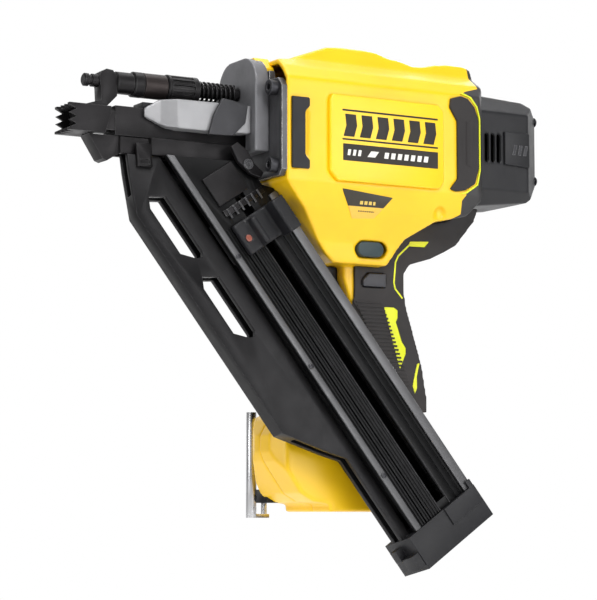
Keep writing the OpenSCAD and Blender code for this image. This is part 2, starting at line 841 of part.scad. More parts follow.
// Pusher: a foot in the nail lane, a neck through the slot and two finger tabs outside
module pusher() {
    color([0.13, 0.13, 0.14]) difference() {
        union() {
            mag_block([slot_a0 + gap, -tray_n - 3, 112], [slot_a1 - gap, -tray_n + 4, 132]);
            mag_block([44, -tray_n - 5, 112], [82, -tray_n - 0.4, 134]);
            mag_block([72, -tray_n - 16, 112], [82, -tray_n - 5, 136]);
            mag_block([54, -tray_n - 12, 114], [58, -tray_n - 5, 133]);
            mag_block([40, -2.2, 104], [76, 2.2, 134]);
            mag_block([slot_a0 + gap, -tray_n + 4, 112], [slot_a1 - gap, -2.2, 132]);
        }
        mag() translate([48.9, -30, -124]) rotate([-90, 0, 0]) cylinder(h = 40, r = 2);
    }
}

// Cover let into the tray above the pusher
module cover_shape() {
    mag_block([46, -tray_n - 1.5, 76], [73, -tray_n + 2, 97]);
}

module tray_cover() {
    color([0.2, 0.2, 0.21]) cover_shape();
}

// End of the pusher's coiled spring band
module spring_band() {
    color([0.35, 0.35, 0.36]) mag_block([46, -tray_n - 1, 100.5], [82, -tray_n, 105]);
}

lever_a = 80;
lever_n = 1.8;
lever_l = 84;

module clamp_lever() {
    color([0.2, 0.2, 0.2]) {
        mag_side(-tray_n - lever_n - 3.2, -tray_n - lever_n) polygon([[77, 68], [83, 68], [86, 76],
            [85, 86], [87, 94], [83, 96], [78, 90], [75, 79]]);
        mag() translate([lever_a, -tray_n - lever_n - 1, -lever_l]) rotate([-90, 0, 0])
            cylinder(h = 3.5 + lever_n, r = 2.5);
    }
}

// Bracket that ties the tray to the foot's side
module magazine_bracket() {
    color([0.15, 0.15, 0.16]) mag_block([52, tray_n, mag_end - 80], [84, tray_n + 3, mag_end - 50]);
}

// ---- foot pieces ----

module foot_block() {
    color([0.12, 0.12, 0.13]) difference() {
        block([rail_x0, rail_y - rail_hw, foot_z], [rail_x1, rail_y + rail_hw, rail_top]);
        block([rail_x0 + 5, rail_y - slide_hw, foot_z - 1], [rail_x1 + 1, rail_y + slide_hw, slide_top]);
    }
}

hook_x = 160;
hook_y = foot_right + 4;
hook_z = foot_z + 10;
hook_arm = 9.8;
hook_low = foot_z - 4;
module hook_bracket() {
    color([0.12, 0.12, 0.13]) difference() {
        block([hook_x - 4.4, foot_right - 8, hook_z - 4], [hook_x + 4.4, foot_right + 8, hook_z + 5]);
        foot_solid();
        translate([hook_x, hook_y, hook_z - 10]) cylinder(h = 20, r = 2 + fit);
    }
}

// Steel hook: a foot wire to the pivot and an upright rod
module rafter_hook() {
    color([0.75, 0.75, 0.76]) {
        translate([hook_x, hook_y, hook_low]) cylinder(h = hook_z + 7 - hook_low, r = 2);
        block([hook_x - hook_arm, hook_y - 2, hook_low], [hook_x + 3, hook_y + 2, hook_low + 2.6]);
        translate([hook_x - hook_arm, hook_y, hook_low]) cylinder(h = 71, r = 3.5);
    }
}

module hook_screw() {
    color([0.8, 0.65, 0.3]) translate([hook_x, hook_y, hook_z + 7.05]) cylinder(h = 2.5, r = 3.5);
}

// ---- inside ----

driver_x = 100;
tail_x0 = driver_x + 120;
tail_x1 = tail_x0 + 52;
guide_y = 15;
module driver() {
    color([0.6, 0.6, 0.62]) {
        xcyl(driver_x, tail_x0, blade_r);
        difference() {
            block([tail_x0, -guide_y - 4.5, -4.5], [tail_x1, guide_y + 4.5, 4.5]);
            for (s = [-1, 1]) xcyl(tail_x0 - 1, tail_x1 + 1, guide_r + fit, s * guide_y, 0);
        }
    }
}

module driver_guides() {
    color([0.7, 0.7, 0.72]) for (s = [-1, 1]) xcyl(casting_x + 3, frame_x1, guide_r, s * guide_y, 0);
}

// Bulkhead at the back that holds the guide rods and the cap screws
module driver_frame() {
    color([0.5, 0.5, 0.52]) difference() {
        block([frame_x0, -body_hw + wall, -24], [frame_x1, body_hw - wall, 32]);
        for (s = [-1, 1]) xcyl(frame_x0 - 1, frame_x1 + 1, guide_r, s * guide_y, 0);
        for (p = CAP_SCREWS) xcyl(frame_x0 - 1, frame_x1 + 1, screw_r, p[0], p[1]);
    }
}

module bumper() {
    color([0.1, 0.1, 0.1]) difference() {
        block([casting_x + 3, -20, -10], [casting_x + 7, 20, 10]);
        xcyl(casting_x, casting_x + 10, blade_r + gap);
        for (s = [-1, 1]) xcyl(casting_x, casting_x + 10, guide_r, s * guide_y, 0);
    }
}

motor_x = 205;
motor_z = -flywheel_r - 5;
module motor_stator() {
    color([0.55, 0.3, 0.15]) difference() {
        ycyl(-12, 12, flywheel_r - 6, motor_x, motor_z);
        ycyl(-14, 14, 3 + fit, motor_x, motor_z);
    }
}

module flywheel() {
    color([0.5, 0.5, 0.52]) {
        difference() {
            ycyl(-14, 17, flywheel_r, motor_x, motor_z);
            ycyl(-15, 12.4, flywheel_r - 5.5, motor_x, motor_z);
        }
        ycyl(-24, 20, 3, motor_x, motor_z);
    }
}

module motor_frame() {
    color([0.6, 0.6, 0.62]) difference() {
        union() {
            block([motor_x - 15, -27, motor_z - 15], [motor_x + 15, -16, motor_z + 15]);
            block([motor_x - 15, 19, motor_z - 15], [motor_x + 15, 25, motor_z + 15]);
            ycyl(-27, -12, 8, motor_x, motor_z);
            ycyl(-body_hw + wall, -27, 6, motor_x, motor_z);
            ycyl(25, body_hw - wall, 6, motor_x, motor_z);
            block([motor_x - 15, -27, motor_z - 24], [motor_x + 15, 25, motor_z - 21.5]);
            block([motor_x - 15, -27, motor_z - 22], [motor_x + 15, -16, motor_z - 15]);
            block([motor_x - 15, 19, motor_z - 22], [motor_x + 15, 25, motor_z - 15]);
        }
        ycyl(-30, 30, 3 + fit, motor_x, motor_z);
    }
}

module solenoid() {
    color([0.3, 0.3, 0.5]) {
        block([188, -14, 13], [222, 14, 40]);
        ycyl(-10, 10, 4.5, motor_x, 9.4);
        block([200, -body_hw + wall, 26], [210, body_hw - wall, 32]);
    }
}

module circuit_board() {
    color([0.1, 0.4, 0.2]) {
        block([rail_x0, -14, rail_top], [rail_x1 - 2, 28, rail_top + 2]);
        for (i = [0:2]) block([202 + i * 18, 0, rail_top + 2], [212 + i * 18, 12, rail_top + 10]);
    }
}

// ---- output ----

housing_left();
housing_right();
grip_overmould();
grip_accents();
top_cover();
side_panels();
front_pads();
rear_pads();
pinstripes();
info_labels();
rear_cap();
cap_badges();
cap_screws();
mode_selector();
trigger();
trigger_pin();
trigger_lock();
trigger_switch();
front_flange();
front_casting();
flange_bolts();
nose_bracket();
link_plates();
nosepiece();
contact_trip();
trip_rod();
depth_wheel();
trip_spring();
rod_block();
jam_latch();
magazine_plates();
magazine_tray();
magazine_rail();
rear_rail();
nose_shroud();
end_cap();
guide_rods();
magazine_screws();
pusher();
tray_cover();
spring_band();
clamp_lever();
magazine_bracket();
foot_block();
hook_bracket();
rafter_hook();
hook_screw();
driver();
driver_guides();
driver_frame();
bumper();
motor_stator();
flywheel();
motor_frame();
solenoid();
circuit_board();
housing_screws();
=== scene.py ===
"""Cordless strip nailer: the outside pieces and their finishes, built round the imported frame."""

import json
import math

import bmesh
import bpy
from mathutils import Matrix, Vector


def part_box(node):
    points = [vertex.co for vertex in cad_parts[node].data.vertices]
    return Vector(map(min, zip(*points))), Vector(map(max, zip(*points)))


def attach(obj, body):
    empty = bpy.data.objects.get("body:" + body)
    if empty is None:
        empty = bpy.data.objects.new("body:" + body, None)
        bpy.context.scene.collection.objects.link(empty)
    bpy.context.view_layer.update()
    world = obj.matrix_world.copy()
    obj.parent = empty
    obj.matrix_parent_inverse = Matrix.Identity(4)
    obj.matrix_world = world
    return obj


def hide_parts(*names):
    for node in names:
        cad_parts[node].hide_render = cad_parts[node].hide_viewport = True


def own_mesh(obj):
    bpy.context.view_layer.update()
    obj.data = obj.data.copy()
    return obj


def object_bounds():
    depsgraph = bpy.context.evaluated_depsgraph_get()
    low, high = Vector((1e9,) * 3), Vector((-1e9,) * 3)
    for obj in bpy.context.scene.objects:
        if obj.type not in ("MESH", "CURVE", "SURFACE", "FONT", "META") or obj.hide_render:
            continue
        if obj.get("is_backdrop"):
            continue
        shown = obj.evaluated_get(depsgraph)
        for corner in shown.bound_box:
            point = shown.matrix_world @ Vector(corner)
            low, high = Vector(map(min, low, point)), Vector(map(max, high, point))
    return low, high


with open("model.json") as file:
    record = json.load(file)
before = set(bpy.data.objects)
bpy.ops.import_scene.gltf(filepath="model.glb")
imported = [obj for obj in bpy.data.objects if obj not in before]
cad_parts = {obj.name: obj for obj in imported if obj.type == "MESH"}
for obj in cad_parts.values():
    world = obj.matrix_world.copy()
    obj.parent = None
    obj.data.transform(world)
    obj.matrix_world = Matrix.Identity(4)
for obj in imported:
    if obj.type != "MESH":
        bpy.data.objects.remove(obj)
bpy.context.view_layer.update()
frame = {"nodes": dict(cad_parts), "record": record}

bl_info = {
    "name": "Cordless Strip Nailer",
    "version": (1, 0, 0),
    "blender": (4, 5, 0),
    "location": "3D View > Sidebar > Nailer",
    "description": "Builds a cordless strip nailer with its housing, nose and magazine",
    "category": "Object",
}

MM = 0.001
JOINTS = {j["name"]: j for j in frame["record"]["behaviour"]["joints"]}
SLOT_OF = {s["node"]: s["material_slot"] for s in frame["record"]["subparts"]}
BODY_OF = {n: b for b, ns in frame["record"]["behaviour"]["bodies"].items() for n in ns}

# The magazine leans back and to one side: its frame comes from the pusher's travel
DOWN = JOINTS["pusher_slide"]["axis"]
RAKE = math.asin(DOWN[0])
CANT = math.atan2(-DOWN[1], -DOWN[2])
TO_MAGAZINE = Matrix.Rotation(-CANT, 4, "X") @ Matrix.Rotation(-RAKE, 4, "Y")


class Extent:
    """A frame node's box in millimetres."""

    def __init__(self, node):
        low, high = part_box(node)
        self.x0, self.y0, self.z0 = (c / MM for c in low)
        self.x1, self.y1, self.z1 = (c / MM for c in high)
        self.x, self.y, self.z = (c / MM for c in (low + high) / 2)


# ---- shapes ----


def blank():
    return bmesh.new()


def solid_of(*nodes):
    """The frame nodes' solids in millimetres, with their flat faces joined up."""
    bm = blank()
    for node in nodes:
        bm.from_mesh(frame["nodes"][node].data)
    bmesh.ops.scale(bm, vec=(1 / MM,) * 3, verts=bm.verts)
    bmesh.ops.remove_doubles(bm, verts=bm.verts, dist=0.002)
    bmesh.ops.dissolve_limit(bm, angle_limit=math.radians(1.5), verts=bm.verts, edges=bm.edges)
    return bm


def prism(bm, outline, low, high, along="Y"):
    """A closed prism of the outline, from low to high along an axis."""
    place = {"X": lambda p, t: (t, p[0], p[1]), "Y": lambda p, t: (p[0], t, p[1]),
             "Z": lambda p, t: (p[0], p[1], t)}[along]
    face = bm.faces.new([bm.verts.new(place(p, low)) for p in outline])
    grown = bmesh.ops.extrude_face_region(bm, geom=[face])["geom"]
    moved = [g for g in grown if isinstance(g, bmesh.types.BMVert)]
    bmesh.ops.translate(bm, verts=moved, vec=Vector(place((0, 0), high - low)))
    verts = list(face.verts) + moved
    bmesh.ops.recalc_face_normals(bm, faces=list({f for v in verts for f in v.link_faces}))
    return verts


def slab(bm, low, high):
    """A box from its lowest to its highest corner."""
    return prism(bm, [(low[0], low[2]), (high[0], low[2]), (high[0], high[2]), (low[0], high[2])],
                 low[1], high[1])


def turned(bm, profile, at, along="X", segments=48):
    """A closed solid spun from a profile of (distance along, radius) round an axis through at."""
    turn = {"X": Matrix.Identity(4), "Y": Matrix.Rotation(math.pi / 2, 4, "Z"),
            "Z": Matrix.Rotation(-math.pi / 2, 4, "Y")}[along]
    place = Matrix.Translation(at) @ turn
    axis = (place.to_3x3() @ Vector((1, 0, 0))).normalized()
    ring = [bm.verts.new(place @ Vector((t, 0, max(r, 0.0)))) for t, r in profile]
    edges = [bm.edges.new(pair) for pair in zip(ring, ring[1:])]
    spun = bmesh.ops.spin(bm, geom=ring + edges, cent=at, axis=axis, angle=math.tau,
                          steps=segments, use_merge=True)["geom_last"]
    linked = {g for g in spun + ring if isinstance(g, bmesh.types.BMVert)}
    while True:
        more = {v for u in linked for e in u.link_edges for v in e.verts} - linked
        if not more:
            break
        linked |= more
    bmesh.ops.remove_doubles(bm, verts=list(linked), dist=0.001)
    linked = [v for v in linked if v.is_valid]
    bmesh.ops.recalc_face_normals(bm, faces=list({f for v in linked for f in v.link_faces}))
    return linked


def coil(bm, start, end, radius, wire, turns, at, steps=28):
    """A round wire wound along X, from start to end, about the axis through at."""
    stand = Matrix.Translation((start, at[1], at[2] + radius)) @ Matrix.Rotation(math.pi / 2, 4, "X")
    ring = bmesh.ops.create_circle(bm, cap_ends=False, segments=12, radius=wire, matrix=stand)["verts"]
    edges = list({e for v in ring for e in v.link_edges})
    count = int(turns * steps)
    bmesh.ops.spin(bm, geom=ring + edges, cent=(start, at[1], at[2]), axis=(1, 0, 0),
                   dvec=((end - start) / count, 0, 0), angle=math.tau * turns, steps=count)
    bmesh.ops.holes_fill(bm, edges=[e for e in bm.edges if e.is_boundary], sides=0)
    bmesh.ops.recalc_face_normals(bm, faces=bm.faces)


def lean(bm, verts=None):
    """Puts what was laid out across (X), through (Y) and down (-Z) the magazine in its place."""
    bmesh.ops.transform(bm, matrix=TO_MAGAZINE, verts=verts or bm.verts)


def both_sides(inner, outer):
    """The near and far Y of a layer on the left and then on the right side."""
    for side in (-1, 1):
        yield sorted((side * inner, side * outer))


def as_object(bm, name):
    mesh = bpy.data.meshes.new(name)
    bm.to_mesh(mesh)
    thing = bpy.data.objects.new(name, mesh)
    bpy.context.scene.collection.objects.link(thing)
    return thing


def worked(thing):
    """The mesh of an object after its modifiers, as a fresh bmesh; the object goes."""
    graph = bpy.context.evaluated_depsgraph_get()
    shaped = thing.evaluated_get(graph)
    bm = blank()
    bm.from_mesh(shaped.to_mesh())
    shaped.to_mesh_clear()
    mesh = thing.data
    bpy.data.objects.remove(thing)
    bpy.data.meshes.remove(mesh)
    return bm


def moulded(bm, grain=1.2, passes=5, keep=0.4):
    """The same solid with its edges and corners rounded as a moulding's are."""
    thing = as_object(bm, "blank")
    bm.free()
    step = thing.modifiers.new("skin", "REMESH")
    step.mode, step.voxel_size, step.adaptivity = "VOXEL", grain, 0.0
    step = thing.modifiers.new("smooth", "SMOOTH")
    step.factor, step.iterations = 0.5, passes
    step = thing.modifiers.new("thin", "DECIMATE")
    step.ratio = keep
    return worked(thing)


def finished(bm, name, node, finish, stands=(), edge=0.0, crease=40, segments=2):
    """Turns a shape into a named piece that rides on its node's body and stands for nodes."""
    bmesh.ops.scale(bm, vec=(MM,) * 3, verts=bm.verts)
    thing = as_object(bm, name)
    bm.free()
    mesh = thing.data
    mesh.materials.append(finish)
    mesh.polygons.foreach_set("use_smooth", [True] * len(mesh.polygons))
    if edge:
        step = thing.modifiers.new("edges", "BEVEL")
        step.width, step.segments, step.limit_method = edge * MM, segments, "ANGLE"
        step.angle_limit, step.harden_normals = math.radians(28), True
        step.use_clamp_overlap = True
    else:
        mesh.set_sharp_from_angle(angle=math.radians(crease))
    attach(thing, BODY_OF[node])
    if stands:
        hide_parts(*stands)
    return thing


def dressed(node, name, finish, edge=0.5, segments=2):
    """The node's own shape with its edges broken, in its finish."""
    return finished(solid_of(node), name, node, finish, (node,), edge, segments=segments)


# ---- finishes ----


class Tone:
    """A socket that takes part in sums: each one adds its Math node."""

    def __init__(self, shade, socket):
        self.shade, self.socket = shade, socket

    def sum(self, how, other, swapped=False):
        pair = (other, self) if swapped else (self, other)
        return self.shade.node("ShaderNodeMath", {"operation": how}, {0: pair[0], 1: pair[1]})

    def __add__(self, other):
        return self.sum("ADD", other)

    __radd__ = __add__

    def __mul__(self, other):
        return self.sum("MULTIPLY", other)

    __rmul__ = __mul__

    def __sub__(self, other):
        return self.sum("SUBTRACT", other)

    def __rsub__(self, other):
        return self.sum("SUBTRACT", other, True)

    def __gt__(self, other):
        return self.sum("GREATER_THAN", other)

    def __lt__(self, other):
        return self.sum("LESS_THAN", other)

    def __mod__(self, other):
        return self.sum("FLOORED_MODULO", other)


class Shade:
    """One procedural material."""

    def __init__(self, name):
        self.material = bpy.data.materials.new(name)
        self.material.use_nodes = True
        self.tree = self.material.node_tree
        self.tree.nodes.clear()

    def node(self, kind, settings=None, inputs=None, output=0):
        made = self.tree.nodes.new(kind)
        for key, value in (settings or {}).items():
            if key == "stops":
                ramp = made.color_ramp
                while len(ramp.elements) > 1:
                    ramp.elements.remove(ramp.elements[0])
                for i, (place, colour) in enumerate(value):
                    stop = ramp.elements[0] if i == 0 else ramp.elements.new(place)
                    stop.position, stop.color = place, colour
            else:
                setattr(made, key, value)
        for key, value in (inputs or {}).items():
            socket = made.inputs[key]
            if isinstance(value, Tone):
                self.tree.links.new(value.socket, socket)
            else:
                socket.default_value = value
        return Tone(self, made.outputs[output])

    def place(self):
        return self.node("ShaderNodeTexCoord", output="Object")

    def noise(self, scale, detail=4.0, rough=0.6, stretch=None):
        where = self.place()
        if stretch:
            where = self.node("ShaderNodeMapping", {}, {"Vector": where, "Scale": stretch})
        return self.node("ShaderNodeTexNoise", {}, {"Vector": where, "Scale": scale,
                                                    "Detail": detail, "Roughness": rough})

    def ramp(self, value, stops):
        """A value turned into another by a ramp of greys."""
        return self.node("ShaderNodeValToRGB", {"stops": [(p, (g, g, g, 1)) for p, g in stops]},
                         {0: value})

    def mix(self, share, one, two):
        return self.node("ShaderNodeMix", {"data_type": "RGBA", "clamp_factor": True},
                         {0: share, 6: one, 7: two}, 2)

    def finish(self, colour, rough, bump=None, strength=0.1, reach=0.0002, **constants):
        inputs = {"Base Color": colour, "Roughness": rough}
        for key, value in constants.items():
            inputs[key.replace("_", " ")] = value
        if bump is not None:
            inputs["Normal"] = self.node("ShaderNodeBump", {}, {"Height": bump, "Strength": strength,
                                                                "Distance": reach})
        return self.surface(self.node("ShaderNodeBsdfPrincipled", {}, inputs))

    def surface(self, shader):
        """Ends the material in this shader."""
        out = self.tree.nodes.new("ShaderNodeOutputMaterial")
        self.tree.links.new(shader.socket, out.inputs["Surface"])
        return self.material


def rgb(r, g, b):
    return (r, g, b, 1.0)


def edge_wear_and_highlight(shade, sharp=0.12):
    """Where edges stand out: 1 on corners, which are worn and also take a painted highlight, broken up by
    a coarse noise.
    """
    # This mask marks edges for wear and for a painted highlight laid over them.
    true = shade.node("ShaderNodeNewGeometry", output="Normal")
    eased = shade.node("ShaderNodeBevel", {"samples": 4}, {"Radius": 0.0007})
    meet = shade.node("ShaderNodeVectorMath", {"operation": "DOT_PRODUCT"}, {0: true, 1: eased},
                      "Value")
    mask = shade.ramp(1.0 - meet, [(0.01, 0.0), (sharp, 1.0)])
    return mask * shade.ramp(shade.noise(220.0, 3.0), [(0.36, 0.25), (0.62, 1.0)])


def plastic(name, base, rough, spread=0.10, grain=5200.0, strength=0.22, wear_and_highlight=0.25, lift=2.2,
            coat=0.0, specular=0.5):
    """A moulded plastic: slow colour drift, spark texture, edges lighter from rubbing and from a painted
    highlight.
    """
    s = Shade(name)
    drift = s.noise(28.0, 3.0)
    dark = tuple(c * (1 - spread) for c in base)
    pale = tuple(min(1.0, c * (1 + spread)) for c in base)
    colour = s.mix(s.ramp(drift, [(0.35, 0.0), (0.68, 1.0)]), rgb(*dark), rgb(*pale))
    # Edge colour: wear plus a painted highlight on every broken edge.
    rubbed_and_highlit = tuple(min(1.0, c * lift + 0.012) for c in base)
    colour = s.mix(edge_wear_and_highlight(s) * wear_and_highlight, colour, rgb(*rubbed_and_highlit))
    fine = s.noise(grain, 2.0, 0.5)
    r = s.ramp(s.noise(60.0, 5.0), [(0.3, rough - 0.05), (0.7, rough + 0.07)])
    return s.finish(colour, r, fine, strength, 0.00006, Coat_Weight=coat, Coat_Roughness=0.25,
                    Specular_IOR_Level=specular if sum(base) > 0.3 else 0.28)


def metal(name, base, rough, metallic=1.0, grain=(1, 1, 1), strength=0.12, wear_and_highlight=0.4, spread=0.12,
          bright=(0.55, 0.55, 0.56), scale=900.0):
    """A metal: tool or cast texture, slow tarnish, bright edges that show wear and a painted highlight."""
    s = Shade(name)
    tarnish = s.ramp(s.noise(42.0, 4.0), [(0.34, 0.0), (0.7, 1.0)])
    dark = tuple(c * (1 - spread) for c in base)
    pale = tuple(min(1.0, c * (1 + spread)) for c in base)
    colour = s.mix(tarnish, rgb(*dark), rgb(*pale))
    # Bright edges: wear and a painted highlight, mixed in by the edge mask.
    colour = s.mix(edge_wear_and_highlight(s) * wear_and_highlight, colour, rgb(*bright))
    lines = s.noise(scale, 3.0, 0.55, grain)
    r = s.ramp(s.noise(75.0, 4.0), [(0.3, rough - 0.06), (0.7, rough + 0.09)])
    return s.finish(colour, r, lines, strength, 0.00005, Metallic=metallic, Specular_IOR_Level=0.28)


FINISHES = {}


def finish_for(key):
    """The finish with this name, made the first time that a piece asks for it."""
    if key not in FINISHES:
        FINISHES[key] = MAKERS[key]()
    return FINISHES[key]


def housing():
    """The housing's settings."""
    return bpy.context.scene.nailer_housing


def shell_finish():
    """Satin yellow, with the black overmoulding behind the rear stripe and round the cap's seat."""
    s = Shade("yellow_shell")
    where = s.place()
    x = s.node("ShaderNodeSeparateXYZ", {}, {0: where}, "X")
    z = s.node("ShaderNodeSeparateXYZ", {}, {0: where}, "Z")
    back = Extent("housing_left").x1
    reach = [(-54, -29), (-52, -29), (-47, -19.4), (-38, -20), (-34, -17), (-32.6, -17.7), (-27, -8.2),
             (-17, -5.8), (19, -5.7), (27.3, -8), (33, -13.6), (35.6, -19.4), (37.5, -16), (41, -4),
             (70, -2.4)]
    low, span, deep = -60.0, 140.0, 40.0
    edge = s.ramp((z * (1 / MM) - low) * (1 / span),
                  [((p - low) / span, 1 + q / deep) for p, q in reach])
    black = (x * (1 / MM) - (back - deep)) * (1 / deep) > edge
    black = black * (z > -0.054)
    drift = s.ramp(s.noise(26.0, 3.0), [(0.35, 0.0), (0.68, 1.0)])
    look = housing()
    yellow = s.mix(drift, rgb(*look.shell_yellow), rgb(*look.shell_pale))
    # Lighter yellow on edges: wear and a painted edge highlight.
    yellow = s.mix(edge_wear_and_highlight(s) * 0.3, yellow, rgb(0.97, 0.66, 0.03))
    soot = s.mix(drift, rgb(0.018, 0.017, 0.018), rgb(0.028, 0.026, 0.027))
    rough = s.ramp(s.noise(60.0, 5.0), [(0.3, 0.32), (0.7, 0.42)])
    return s.finish(s.mix(black, yellow, soot), rough + black * 0.14, s.noise(4200.0, 2.0), 0.1,
                    0.00006, Coat_Weight=0.1, Coat_Roughness=0.25)


def label_finish():
    """Printed foil: black above, amber below, with plain dashes."""
    s = Shade("printed_foil")
    where = s.place()
    x = s.node("ShaderNodeSeparateXYZ", {}, {0: where}, "X")
    z = s.node("ShaderNodeSeparateXYZ", {}, {0: where}, "Z")
    box = Extent("info_labels")
    split = (box.z0 + 0.42 * (box.z1 - box.z0)) * MM
    upper = z > split
    row = (z > split + 1.4 * MM) * (z < split + 3.6 * MM)
    across = (x > (box.x0 + 14) * MM) * (x < (box.x0 + 27) * MM)
    dash = row * across * ((x % (3.4 * MM)) > 1.1 * MM)
    low = (z > split - 3.4 * MM) * (z < split - 2.5 * MM) * across * ((x % (1.7 * MM)) > 0.5 * MM)
    soft = s.noise(700.0, 3.0)
    dark = s.mix(soft, rgb(0.018, 0.014, 0.008), rgb(0.035, 0.028, 0.016))
    amber = s.mix(soft, rgb(0.84, 0.47, 0.05), rgb(0.92, 0.56, 0.08))
    colour = s.mix(upper, amber, dark)
    colour = s.mix(dash, colour, rgb(0.72, 0.5, 0.1))
    colour = s.mix(low, colour, rgb(0.06, 0.04, 0.01))
    return s.finish(colour, s.ramp(soft, [(0.3, 0.28), (0.7, 0.38)]), soft, 0.05)


MAKERS = {
    "yellow_shell": shell_finish,
    "panel_yellow": lambda: plastic("panel_yellow", housing().panel_yellow, 0.33, 0.03, 4200.0, 0.07,
                                    0.3, 1.05, 0.18),
    "grip_rubber": lambda: plastic("grip_rubber", housing().rubber, 0.52, 0.14, 2600.0, 0.3,
                                   0.3, 2.0),
    "lime_accent": lambda: plastic("lime_accent", housing().lime, 0.42, 0.05, 3800.0, 0.12,
                                   0.2, 1.05),
    "black_moulding": lambda: plastic("black_moulding", (0.015, 0.015, 0.017), 0.42, 0.16, 3400.0,
                                      0.3, 0.3, 2.4),
    "dark_label": label_finish,
    "print_black": lambda: plastic("print_black", (0.022, 0.018, 0.014), 0.4, 0.1, 3000.0, 0.08),
    "print_pale": lambda: plastic("print_pale", (0.78, 0.76, 0.7), 0.42, 0.05, 3000.0, 0.08),
    "control_plastic": lambda: plastic("control_plastic", (0.055, 0.055, 0.062), 0.4, 0.12, 3200.0,
                                       0.2),
    "selector_teal": lambda: plastic("selector_teal", (0.035, 0.055, 0.06), 0.35, 0.12, 3200.0, 0.2),
    "screw_steel": lambda: metal("screw_steel", (0.05, 0.05, 0.055), 0.38, 0.8),
    # The flange's rounded rim is painted near white at full strength: a painted highlight on top of its
    # wear.
    "flange_steel": lambda: metal("flange_steel", (0.10, 0.10, 0.105), 0.36, 0.7, (1, 8, 1), 0.15, 1.0,
                                  0.18, (0.95, 0.93, 0.9)),
    "cast_aluminium": lambda: metal("cast_aluminium", (0.33, 0.33, 0.34), 0.45, 0.5, (1, 1, 1), 0.3,
                                    0.5, 0.08, (0.62, 0.62, 0.63), 1500.0),
    "dome_casting": lambda: metal("dome_casting", (0.19, 0.19, 0.2), 0.5, 0.55, (1, 1, 1), 0.35,
                                  0.5, 0.12, (0.3, 0.3, 0.31), 1500.0),
    "link_steel": lambda: metal("link_steel", (0.05, 0.05, 0.054), 0.42, 0.6),
    "black_steel": lambda: metal("black_steel", (0.017, 0.016, 0.017), 0.40, 0.55, (1, 1, 1), 0.2, 0.35,
                                 0.2, (0.2, 0.2, 0.2)),
    "warm_steel": lambda: metal("warm_steel", (0.036, 0.029, 0.028), 0.38, 0.6, (1, 6, 1), 0.15, 0.35,
                                0.15, (0.22, 0.2, 0.2)),
    "spring_steel": lambda: metal("spring_steel", (0.02, 0.019, 0.02), 0.3, 0.8, wear_and_highlight=0.3),
    "black_anodised": lambda: metal("black_anodised", (0.016, 0.0155, 0.0165), 0.37, 0.45, (1, 1, 1), 0.18,
                                    0.45, 0.14, (0.16, 0.16, 0.17), 2400.0),
    "tray_black": lambda: metal("tray_black", (0.005, 0.005, 0.0055), 0.36, 0.4, (1, 1, 1), 0.15, 0.3,
                                0.2, (0.06, 0.06, 0.065), 2400.0),
    "rail_grey": lambda: metal("rail_grey", (0.14, 0.14, 0.145), 0.4, 0.7, (1, 1, 1), 0.15, 0.5, 0.12,
                               (0.4, 0.4, 0.42)),
    "hook_steel": lambda: metal("hook_steel", (0.58, 0.58, 0.59), 0.27, 1.0, (8, 8, 1), 0.2, 0.4, 0.12,
                                (0.9, 0.9, 0.9)),
    "brass_screw": lambda: metal("brass_screw", (0.72, 0.5, 0.18), 0.34),
    "driver_steel": lambda: metal("driver_steel", (0.5, 0.5, 0.52), 0.3, 1.0, (1, 10, 10)),
    "bumper_rubber": lambda: plastic("bumper_rubber", (0.03, 0.03, 0.03), 0.7),
    "winding_copper": lambda: metal("winding_copper", (0.62, 0.28, 0.12), 0.34, 0.9, (1, 12, 1), 0.4),
    "coil_case": lambda: plastic("coil_case", (0.05, 0.05, 0.06), 0.45),
    "board_green": lambda: plastic("board_green", (0.02, 0.2, 0.08), 0.3, 0.2, 900.0, 0.2),
    "port_red": lambda: metal("port_red", (0.30, 0.09, 0.06), 0.42, 0.5),
}


# ---- settings ----


def colour_setting(name, note, default):
    return bpy.props.FloatVectorProperty(name=name, description=note, default=default, size=3,
                                         min=0.0, max=1.0, subtype="COLOR")


def length_setting(name, note, default, low=0.0, high=10.0):
    return bpy.props.FloatProperty(name=name, description=note, default=default, min=low, max=high)


class NailerHousing(bpy.types.PropertyGroup):
    """Housing, trim and grip."""

    shell_rounding: bpy.props.IntProperty(
        name="Shell Rounding", description="How far the shells' edges are rounded", default=5, min=0,
        max=20)
    panel_edge: length_setting("Panel Edge", "Rounding of the side panels' rim, in mm", 0.9)
    badge_bars: bpy.props.IntProperty(
        name="Badge Bars", description="Slanted bars on each side panel", default=6, min=1, max=12)
    shell_yellow: colour_setting("Shell Yellow", "Deeper yellow of the shells", (0.90, 0.53, 0.003))
    shell_pale: colour_setting("Shell Pale", "Lighter yellow that the shells drift to",
                               (0.94, 0.58, 0.004))
    panel_yellow: colour_setting("Panel Yellow", "Yellow of the side panels", (0.94, 0.60, 0.006))
    lime: colour_setting("Lime", "Colour of the grip's and stripes' accents", (0.74, 0.78, 0.012))
    rubber: colour_setting("Rubber", "Colour of the grip's rubber", (0.028, 0.025, 0.025))
    rib_pitch: length_setting("Rib Pitch", "Distance between the grip's ribs, in mm", 2.6, 1.5, 6.0)
    rib_height: length_setting("Rib Height", "How far the grip's ribs stand out, in mm", 0.55, 0.1, 1.5)


class NailerNose(bpy.types.PropertyGroup):
    """Nose, trip and spring."""

    spring_turns: bpy.props.IntProperty(
        name="Spring Turns", description="Turns of the trip's return spring", default=8, min=3, max=14)
    spring_wire: length_setting("Spring Wire", "Radius of the return spring's wire, in mm", 0.9, 0.4,
                                1.3)


class NailerMagazine(bpy.types.PropertyGroup):
    """Magazine."""

    flute_pitch: length_setting("Flute Pitch", "Distance between the tray's long flutes, in mm", 2.3,
                                1.5, 6.0)


